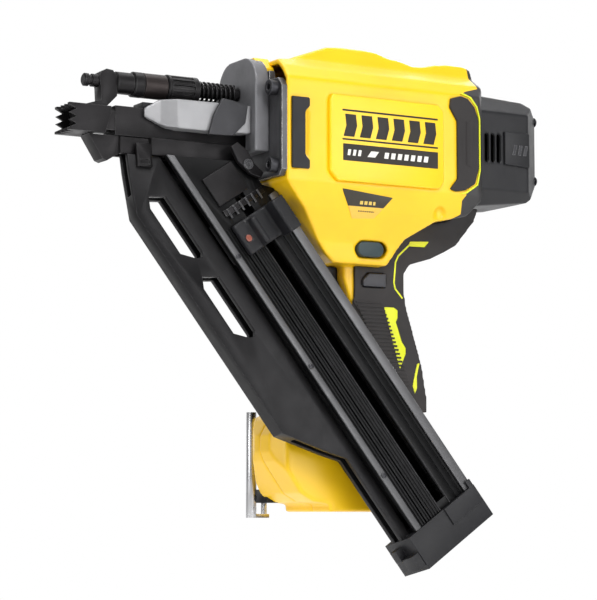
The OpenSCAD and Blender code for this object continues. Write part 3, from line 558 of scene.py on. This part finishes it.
class NailerStudio(bpy.types.PropertyGroup):
    """Stage and light."""

    floor_tone: colour_setting("Floor", "Colour of the floor", (0.90, 0.90, 0.90))
    key_power: bpy.props.FloatProperty(name="Key Light", description="Power of the main soft light",
                                       default=19.0, min=0.0, subtype="POWER")
    sky_level: bpy.props.FloatProperty(name="Sky", description="Strength of the even surrounding light",
                                       default=0.36, min=0.0)


# ---- pieces ----


class NAILER_OT_stage(bpy.types.Operator):
    """Set the floor, the soft lights and the camera"""

    bl_idname = "nailer.stage"
    bl_label = "Stage"

    def execute(self, context):
        look = context.scene.nailer_studio
        low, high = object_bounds()
        floor = blank()
        bmesh.ops.create_grid(floor, x_segments=2, y_segments=2, size=6.0,
                              matrix=Matrix.Translation((0, 0, low.z - 0.30)))
        ground = as_object(floor, "floor")
        floor.free()
        s = Shade("floor_paper")
        tone = s.noise(3.0, 2.0)
        base = rgb(*look.floor_tone)
        ground.data.materials.append(
            s.finish(s.mix(tone, base, rgb(*(min(1, c * 1.02) for c in look.floor_tone))), 0.9,
                     s.noise(400.0), 0.03))
        ground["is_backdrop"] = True
        middle = (low + high) / 2
        for name, way, power, size in (
                ("key_light", (-0.35, -1.35, 1.2), look.key_power, 0.8),
                ("front_light", (0.75, -1.6, 0.2), look.key_power * 0.5, 1.0),
                ("top_light", (0.1, 0.1, 1.8), look.key_power * 0.9, 1.3),
                ("rim_light", (1.2, 0.9, 0.9), look.key_power * 0.8, 0.8),
                ("low_light", (-1.5, -0.3, 0.1), look.key_power * 0.25, 0.5)):
            data = bpy.data.lights.new(name, "AREA")
            data.energy, data.size = power, size
            lamp = bpy.data.objects.new(name, data)
            lamp.location = middle + Vector(way)
            lamp.rotation_euler = (-Vector(way)).to_track_quat("-Z", "Y").to_euler()
            context.scene.collection.objects.link(lamp)
        sheet = blank()
        bmesh.ops.create_grid(sheet, x_segments=1, y_segments=1, size=5.0)
        bmesh.ops.rotate(sheet, verts=sheet.verts, cent=(0, 0, 0),
                         matrix=Matrix.Rotation(math.pi / 2, 3, "X"))
        bmesh.ops.rotate(sheet, verts=sheet.verts, cent=(0, 0, 0),
                         matrix=Matrix.Rotation(math.radians(-30), 3, "Z"))
        bmesh.ops.translate(sheet, verts=sheet.verts, vec=(1.9, 3.1, 0.4))
        backdrop = as_object(sheet, "backdrop")
        sheet.free()
        glow = Shade("backdrop_glow")
        lit = glow.node("ShaderNodeEmission", {}, {"Color": rgb(1, 1, 1), "Strength": 1.0})
        backdrop.data.materials.append(glow.surface(lit))
        backdrop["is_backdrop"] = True
        world = bpy.data.worlds.new("studio")
        world.use_nodes = True
        back = world.node_tree.nodes["Background"]
        back.inputs["Color"].default_value = (1, 1, 1, 1)
        back.inputs["Strength"].default_value = look.sky_level
        context.scene.world = world
        context.scene.view_settings.view_transform = "Standard"
        data = bpy.data.cameras.new("camera")
        data.sensor_width, data.lens = 36.0, 131.64
        data.clip_end = 50.0
        camera = bpy.data.objects.new("camera", data)
        across, tilt = math.radians(30.0), math.radians(5.571)
        camera.location = (-0.56512, -1.26280, -0.24945)
        camera.rotation_euler = Vector((
            math.sin(across) * math.cos(tilt), math.cos(across) * math.cos(tilt),
            math.sin(tilt))).to_track_quat("-Z", "Y").to_euler()
        context.scene.collection.objects.link(camera)
        context.scene.camera = camera
        return {"FINISHED"}


class NAILER_OT_shells(bpy.types.Operator):
    """Mould the two halves of the housing"""

    bl_idname = "nailer.shells"
    bl_label = "Shells"

    def execute(self, context):
        passes = context.scene.nailer_housing.shell_rounding
        for node, name in (("housing_left", "left_shell"), ("housing_right", "right_shell")):
            bm = moulded(solid_of(node), 1.15, passes, 0.36)
            finished(bm, name, node, finish_for("yellow_shell"), (node,), crease=60)
        dome = Extent("front_casting")
        flange = Extent("front_flange")
        hood = blank()
        half, top = 20.0, dome.z1 - 0.6
        prism(hood, [(-half - 2.5, top - 15), (-half - 2.0, top - 7), (-half + 6, top + 0.9),
                     (half - 6, top + 0.9), (half + 2.0, top - 7), (half + 2.5, top - 15),
                     (half + 0.5, top - 15), (half - 1, top - 9), (half - 7, top - 1.4),
                     (-half + 7, top - 1.4), (-half + 1, top - 9), (-half - 0.5, top - 15)],
              flange.x0 - 5.5, flange.x1 + 2, "X")
        finished(hood, "casting_hood", "housing_left", finish_for("panel_yellow"), edge=0.8, segments=3)
        screws = solid_of("housing_screws")
        finished(screws, "shell_screws", "housing_screws", finish_for("screw_steel"),
                 ("housing_screws",), 0.3)
        return {"FINISHED"}


class NAILER_OT_side_trim(bpy.types.Operator):
    """Fit the side panels, their bars, the pads, the stripes and the labels"""

    bl_idname = "nailer.side_trim"
    bl_label = "Side Trim"

    def execute(self, context):
        look = context.scene.nailer_housing
        finished(solid_of("side_panels"), "side_panel", "side_panels", finish_for("panel_yellow"),
                 ("side_panels",), look.panel_edge, segments=3)
        panel = Extent("side_panels")
        face = panel.y1
        bars, pale, plate = blank(), blank(), blank()
        x0, x1 = panel.x0 + 9, panel.x0 + 84
        for side in (-1, 1):
            near, far = sorted((side * (face - 0.6), side * (face + 0.35)))
            for low, high in ((14.4, 15.6), (-4.9, -3.8)):
                slab(bars, (x0, near, low), (x1, far, high))
            count = look.badge_bars
            step = (x1 - x0) / count
            for i in range(count):
                a = x0 + i * step + 0.8
                b = a + step * 0.66
                shift = 2.2
                prism(bars, [(a, -2.4), (b, -2.4), (b + shift, 5.0), (b + shift * 0.6, 12.5),
                             (a + shift * 0.6, 12.5), (a + shift, 5.0)], near, far)
            slab(plate, (x0 + 0.5, near, -18.5), (x1, far, -7.3))
            top = sorted((side * (face + 0.1), side * (face + 0.55)))
            for a, b in ((3.5, 6.5), (7.6, 10.6), (11.6, 14.6), (32, 36), (37.2, 41.2), (42.4, 46.4),
                         (47.6, 51.6), (52.8, 56.8), (58, 62), (63.2, 67.2)):
                prism(pale, [(x0 + a, -15), (x0 + b - 0.8, -15), (x0 + b, -11), (x0 + a + 0.8, -11)],
                      top[0], top[1])
            prism(pale, [(x0 + 19, -15), (x0 + 25, -15), (x0 + 28, -11), (x0 + 22, -11)],
                  top[0], top[1])
        finished(bars, "badge_bars", "front_pads", finish_for("print_black"), edge=0.25)
        finished(plate, "badge_plate", "front_pads", finish_for("print_black"), edge=0.3)
        finished(pale, "badge_dashes", "cap_badges", finish_for("print_pale"), edge=0.12)
        pad = Extent("front_pads")
        grips = blank()
        for near, far in both_sides(pad.y1 - 2.4, pad.y1 - 0.1):
            prism(grips, [(pad.x0, 21), (pad.x0 + 12.5, 21), (pad.x0 + 13.2, 20), (pad.x0 + 13.2, 15.4),
                          (pad.x0 + 12, 14.2), (pad.x0 + 10.4, 12.6), (pad.x0 + 9.8, 11),
                          (pad.x0 + 9.8, -16), (pad.x0 + 10.4, -17.6), (pad.x0 + 12, -19.2),
                          (pad.x0 + 13.2, -20.4), (pad.x0 + 13.2, -25), (pad.x0 + 12.5, -26),
                          (pad.x0, -26)], near, far)
        finished(grips, "front_pads", "front_pads", finish_for("black_moulding"), ("front_pads",), 0.5,
                 segments=3)
        finished(moulded(solid_of("rear_pads"), 0.55, 4, 0.35), "rear_pads", "rear_pads",
                 finish_for("grip_rubber"), ("rear_pads",), crease=55)
        dressed("pinstripes", "pinstripes", finish_for("lime_accent"), 0.25)
        dressed("info_labels", "info_labels", finish_for("dark_label"), 0.15)
        dressed("top_cover", "top_cover", finish_for("black_moulding"), 0.8, 3)
        return {"FINISHED"}


class NAILER_OT_cap(bpy.types.Operator):
    """Mould the rear cap with its raised vent blocks and screws"""

    bl_idname = "nailer.cap"
    bl_label = "Rear Cap"

    def execute(self, context):
        finished(moulded(solid_of("rear_cap"), 0.9, 4, 0.4), "rear_cap", "rear_cap",
                 finish_for("black_moulding"), ("rear_cap",), crease=50)
        dressed("cap_badges", "cap_blocks", finish_for("black_moulding"), 0.7, 3)
        dressed("cap_screws", "cap_screws", finish_for("screw_steel"), 0.4)
        badge = Extent("cap_badges")
        marks = blank()
        for near, far in both_sides(badge.y1 - 0.3, badge.y1 + 0.25):
            for i in range(3):
                a = badge.x0 + 6 + i * 4.6
                prism(marks, [(a, -2.0), (a + 2.6, -2.0), (a + 4.2, 5.0), (a + 1.6, 5.0)], near, far)
        finished(marks, "cap_marks", "cap_badges", finish_for("link_steel"), edge=0.15)
        return {"FINISHED"}


class NAILER_OT_grip(bpy.types.Operator):
    """Mould the grip's rubber with its ribs and lime lines"""

    bl_idname = "nailer.grip"
    bl_label = "Grip"

    def execute(self, context):
        look = context.scene.nailer_housing
        rubber = moulded(solid_of("grip_overmould"), 1.0, 6, 0.5)
        finished(rubber, "grip_rubber", "grip_overmould", finish_for("grip_rubber"),
                 ("grip_overmould",), crease=60)
        finished(solid_of("grip_accents"), "grip_accents", "grip_accents", finish_for("lime_accent"),
                 ("grip_accents",), 0.4)
        grip = Extent("grip_overmould")
        half = grip.y1
        ribs = blank()
        top, low = -107.5, -165.0
        count = int((top - low) / look.rib_pitch)
        for i in range(count):
            z = top - i * look.rib_pitch
            lead = 197.5 + (-z - 107.5) * 0.46
            tail = lead + 21 - max(0, i - 4) * 0.18
            for near, far in both_sides(half - 0.8, half + look.rib_height):
                prism(ribs, [(lead, z), (tail, z), (tail, z - look.rib_pitch * 0.5),
                             (lead + 0.6, z - look.rib_pitch * 0.5)], near, far)
        finished(ribs, "grip_ribs", "grip_overmould", finish_for("grip_rubber"), edge=0.3)
        lines, leaf = blank(), blank()
        for near, far in both_sides(half - 1.2, half + 0.25):
            path = [(252, -66.5), (240.5, -67.5), (231.5, -75.5), (229.3, -80), (228, -94),
                    (229, -98), (234.5, -104)]
            for (xa, za), (xb, zb) in zip(path, path[1:]):
                along = Vector((xb - xa, 0, zb - za)).normalized()
                out = Vector((-along.z, 0, along.x)) * 0.6
                tip = along * 0.4
                prism(lines, [(xa - tip.x + out.x, za - tip.z + out.z),
                              (xb + tip.x + out.x, zb + tip.z + out.z),
                              (xb + tip.x - out.x, zb + tip.z - out.z),
                              (xa - tip.x - out.x, za - tip.z - out.z)], near, far)
            prism(leaf, [(248.4, -147.4), (246.2, -148.4), (243.8, -158), (242.6, -163.3),
                         (244.4, -168.6), (246.2, -164.5), (246.0, -157)], near, far)
        finished(lines, "grip_lines", "grip_accents", finish_for("lime_accent"), edge=0.2)
        finished(leaf, "grip_leaf", "grip_accents", finish_for("lime_accent"), edge=0.3)
        return {"FINISHED"}


class NAILER_OT_controls(bpy.types.Operator):
    """Fit the trigger, its lock, the selector and the switch"""

    bl_idname = "nailer.controls"
    bl_label = "Controls"

    def execute(self, context):
        dressed("trigger", "trigger", finish_for("control_plastic"), 1.2, 3)
        dressed("trigger_lock", "trigger_lock", finish_for("control_plastic"), 0.8, 3)
        dressed("mode_selector", "mode_selector", finish_for("selector_teal"), 0.8, 3)
        dressed("trigger_pin", "trigger_pin", finish_for("screw_steel"), 0.3)
        dressed("trigger_switch", "trigger_switch", finish_for("coil_case"), 0.5)
        return {"FINISHED"}


class NAILER_OT_foot(bpy.types.Operator):
    """Fit the battery rail block, the hook and its bracket"""

    bl_idname = "nailer.foot"
    bl_label = "Foot And Hook"

    def execute(self, context):
        dressed("foot_block", "battery_rail", finish_for("black_moulding"), 0.5)
        dressed("hook_bracket", "hook_bracket", finish_for("black_moulding"), 0.7)
        dressed("rafter_hook", "rafter_hook", finish_for("hook_steel"), 0.6, 3)
        dressed("hook_screw", "hook_screw", finish_for("brass_screw"), 0.5, 3)
        return {"FINISHED"}


class NAILER_OT_front(bpy.types.Operator):
    """Fit the flange, the domed casting, the side arms and their plates"""

    bl_idname = "nailer.front"
    bl_label = "Front End"

    def execute(self, context):
        finished(moulded(solid_of("front_casting"), 0.8, 4, 0.4), "dome_casting", "front_casting",
                 finish_for("dome_casting"), ("front_casting",), crease=50)
        dressed("front_flange", "front_flange", finish_for("flange_steel"), 1.0, 3)
        dressed("flange_bolts", "flange_bolts", finish_for("screw_steel"), 0.4, 3)
        finished(moulded(solid_of("nose_bracket"), 0.7, 4, 0.35), "side_arms", "nose_bracket",
                 finish_for("cast_aluminium"), ("nose_bracket",), crease=50)
        dressed("link_plates", "link_plates", finish_for("link_steel"), 0.7, 3)
        return {"FINISHED"}


class NAILER_OT_nose(bpy.types.Operator):
    """Fit the nose, the trip with its rod and spring, and the depth wheel"""

    bl_idname = "nailer.nose"
    bl_label = "Nose And Trip"

    def execute(self, context):
        look = context.scene.nailer_nose
        dressed("nosepiece", "nose_barrel", finish_for("black_steel"), 0.5)
        dressed("contact_trip", "trip_crown", finish_for("black_steel"), 0.45)
        rod, wheel, spring = Extent("trip_rod"), Extent("depth_wheel"), Extent("trip_spring")
        centre = Vector((0, 0, wheel.z))
        core = blank()
        turned(core, [(5.0, 0), (5.0, 3.1), (5.8, 4.2), (8.4, 4.2), (8.9, 3.3), (10.4, 3.3),
                      (10.9, 4.2), (rod.x1, 4.2), (rod.x1, 0)], centre)
        finished(core, "trip_rod", "trip_rod", finish_for("black_steel"), ("trip_rod",), crease=30)
        sleeve = blank()
        turned(sleeve, [(27.1, 4.3), (27.1, 6.6), (27.7, 7.2), (38.6, 7.2), (39.0, 4.3)], centre)
        finished(sleeve, "trip_tube", "trip_rod", finish_for("black_steel"), crease=30)
        collar = blank()
        turned(collar, [(39.1, 4.3), (39.1, 7.7), (39.7, 8.3), (45.6, 8.3), (46.2, 7.7), (46.2, 4.3)],
               centre)
        finished(collar, "trip_collar", "trip_rod", finish_for("black_steel"), crease=30)
        cuff = blank()
        turned(cuff, [(46.3, 4.3), (46.3, 7.9), (46.6, 8.2), (wheel.x0 - 0.9, 8.2),
                      (wheel.x0 - 0.5, 7.8), (wheel.x0 - 0.5, 4.3)], centre)
        finished(cuff, "trip_cuff", "trip_rod", finish_for("warm_steel"), crease=30)
        hub = blank()
        turned(hub, [(wheel.x0, 4.5), (wheel.x0, 8.0), (wheel.x0 + 0.8, 8.8), (wheel.x0 + 2.6, 8.8),
                     (wheel.x0 + 3.0, 7.6), (wheel.x1 - 4.6, 7.6), (wheel.x1 - 4.2, 8.8),
                     (wheel.x1 - 0.8, 8.8), (wheel.x1, 8.0), (wheel.x1, 4.5)], centre)
        notches = 14
        for i in range(notches):
            verts = prism(hub, [(-1.1, 7.0), (1.1, 7.0), (0.75, 8.75), (-0.75, 8.75)],
                          wheel.x0 + 2.8, wheel.x1 - 4.4, "X")
            bmesh.ops.rotate(hub, verts=verts, cent=(0, 0, 0),
                             matrix=Matrix.Rotation(math.tau * i / notches, 3, "X"))
            bmesh.ops.translate(hub, verts=verts, vec=(0, 0, wheel.z))
        finished(hub, "depth_wheel", "depth_wheel", finish_for("black_steel"), ("depth_wheel",),
                 crease=30)
        wound = blank()
        coil(wound, spring.x0 + look.spring_wire, spring.x1 - look.spring_wire, 6.0, look.spring_wire,
             look.spring_turns, centre)
        thing = finished(wound, "trip_spring", "trip_spring", finish_for("spring_steel"),
                         ("trip_spring",), crease=70)
        slide = JOINTS["trip_slide"]
        fixed = slide["deforming_nodes"][0]["fixed_end_x_m"]
        travel = slide["range_m"][1]
        length = fixed - spring.x0 * MM
        (length - travel) / length
        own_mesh(thing)
        dressed("rod_block", "rod_block", finish_for("black_moulding"), 0.6)
        dressed("jam_latch", "jam_latch", finish_for("black_steel"), 0.5)
        dressed("nose_shroud", "nose_shroud", finish_for("black_steel"), 0.7)
        return {"FINISHED"}


class NAILER_OT_magazine(bpy.types.Operator):
    """Fit the magazine's plates, fluted tray, rails and end cap"""

    bl_idname = "nailer.magazine"
    bl_label = "Magazine"

    def execute(self, context):
        dressed("magazine_plates", "magazine_plates", finish_for("black_anodised"), 0.7, 3)
        dressed("magazine_tray", "magazine_tray", finish_for("tray_black"), 0.4)
        dressed("magazine_rail", "magazine_ridge", finish_for("rail_grey"), 0.5)
        lip = blank()
        tray_face, tray_foot, tray_head = -13.5, -341.6, -112.0
        for across in (68.4, 58.6):
            slab(lip, (across, tray_face, tray_foot), (across + 0.9, tray_face + 0.7, tray_head))
        lean(lip)
        finished(lip, "tray_lips", "magazine_tray", finish_for("black_anodised"), edge=0.2)
        dressed("rear_rail", "rear_rail", finish_for("rail_grey"), 0.5)
        dressed("end_cap", "end_cap", finish_for("black_moulding"), 1.2, 3)
        dressed("guide_rods", "guide_rods", finish_for("spring_steel"), 0.2)
        dressed("magazine_screws", "magazine_screws", finish_for("screw_steel"), 0.25)
        dressed("magazine_bracket", "magazine_bracket", finish_for("black_steel"), 0.4)
        flutes = blank()
        pitch = context.scene.nailer_magazine.flute_pitch
        a, rib_end = 40.6, 57.5
        while a < rib_end:
            slab(flutes, (a, tray_face, tray_foot), (a + pitch * 0.45, tray_face + 0.9, tray_head))
            a += pitch
        lean(flutes)
        finished(flutes, "tray_flutes", "magazine_tray", finish_for("tray_black"), edge=0.15)
        return {"FINISHED"}


class NAILER_OT_feed(bpy.types.Operator):
    """Fit the pusher, the cover, the spring band and the clamp lever"""

    bl_idname = "nailer.feed"
    bl_label = "Feed"

    def execute(self, context):
        finished(moulded(solid_of("pusher"), 0.8, 7, 0.4), "pusher", "pusher",
                 finish_for("black_moulding"), ("pusher",), crease=50)
        port = blank()
        turned(port, [(-18.4, 0), (-18.4, 1.9), (-18.0, 2.3), (-16.0, 2.3), (-16.0, 0)],
               (48.9, 0, -124), "Y", 32)
        lean(port)
        finished(port, "pusher_port", "pusher", finish_for("port_red"), crease=30)
        teeth = blank()
        tooth_pitch, tooth_width = 5.6, 1.4
        for i in range(6):
            a = 48.5 + i * tooth_pitch
            slab(teeth, (a, -14.7, -107.4), (a + tooth_width, -13.9, -100.6))
        lean(teeth)
        finished(teeth, "band_teeth", "spring_band", finish_for("link_steel"), edge=0.2)
        pivot = blank()
        turned(pivot, [(-19.1, 0), (-19.1, 1.1), (-18.6, 1.3), (-18.6, 2.0), (-19.2, 2.3),
                       (-19.2, 3.2), (-18.7, 3.6), (-17.6, 3.6), (-17.6, 0)], (80, 0, -84), "Y", 40)
        lean(pivot)
        finished(pivot, "lever_screw", "clamp_lever", finish_for("link_steel"), crease=30)
        dressed("tray_cover", "tray_cover", finish_for("black_steel"), 0.6)
        dressed("spring_band", "spring_band", finish_for("spring_steel"), 0.2)
        dressed("clamp_lever", "clamp_lever", finish_for("black_steel"), 0.7, 3)
        return {"FINISHED"}


class NAILER_OT_inside(bpy.types.Operator):
    """Finish the driver, its guides, the motor and the board"""

    bl_idname = "nailer.inside"
    bl_label = "Inside"

    def execute(self, context):
        for node, name, edge in (
                ("driver", "driver", 0.3), ("driver_guides", "driver_guides", 0.2),
                ("driver_frame", "driver_frame", 0.4), ("bumper", "bumper", 0.6),
                ("motor_stator", "motor_stator", 0.4), ("flywheel", "flywheel", 0.5),
                ("motor_frame", "motor_frame", 0.4), ("solenoid", "solenoid", 0.5),
                ("circuit_board", "circuit_board", 0.2)):
            dressed(node, name, finish_for(SLOT_OF[node]), edge)
        return {"FINISHED"}


class NAILER_PT_panel(bpy.types.Panel):
    """Lists the nailer's settings and the steps that build it"""

    bl_label = "Nailer"
    bl_idname = "NAILER_PT_panel"
    bl_space_type = "VIEW_3D"
    bl_region_type = "UI"
    bl_category = "Nailer"

    def draw(self, context):
        scene = context.scene
        for group in (scene.nailer_housing, scene.nailer_nose, scene.nailer_magazine,
                      scene.nailer_studio):
            box = self.layout.box()
            for prop in group.bl_rna.properties:
                if not prop.is_readonly and prop.identifier != "name":
                    box.prop(group, prop.identifier)
        for step in STEPS:
            self.layout.operator(step.bl_idname)


GROUPS = (NailerHousing, NailerNose, NailerMagazine, NailerStudio)
STEPS = (NAILER_OT_stage, NAILER_OT_shells, NAILER_OT_side_trim, NAILER_OT_cap, NAILER_OT_grip,
         NAILER_OT_controls, NAILER_OT_foot, NAILER_OT_front, NAILER_OT_nose, NAILER_OT_magazine,
         NAILER_OT_feed, NAILER_OT_inside)


def register():
    for kind in GROUPS + STEPS + (NAILER_PT_panel,):
        bpy.utils.register_class(kind)
    bpy.types.Scene.nailer_housing = bpy.props.PointerProperty(type=NailerHousing)
    bpy.types.Scene.nailer_nose = bpy.props.PointerProperty(type=NailerNose)
    bpy.types.Scene.nailer_magazine = bpy.props.PointerProperty(type=NailerMagazine)
    bpy.types.Scene.nailer_studio = bpy.props.PointerProperty(type=NailerStudio)


def unregister():
    del bpy.types.Scene.nailer_studio
    del bpy.types.Scene.nailer_magazine
    del bpy.types.Scene.nailer_nose
    del bpy.types.Scene.nailer_housing
    for kind in reversed(GROUPS + STEPS + (NAILER_PT_panel,)):
        bpy.utils.unregister_class(kind)


def main():
    register()
    for step in STEPS:
        group, name = step.bl_idname.split(".")
        if getattr(getattr(bpy.ops, group), name)() != {"FINISHED"}:
            raise RuntimeError(step.bl_label + " did not finish")


if __name__ == "__main__":
    main()
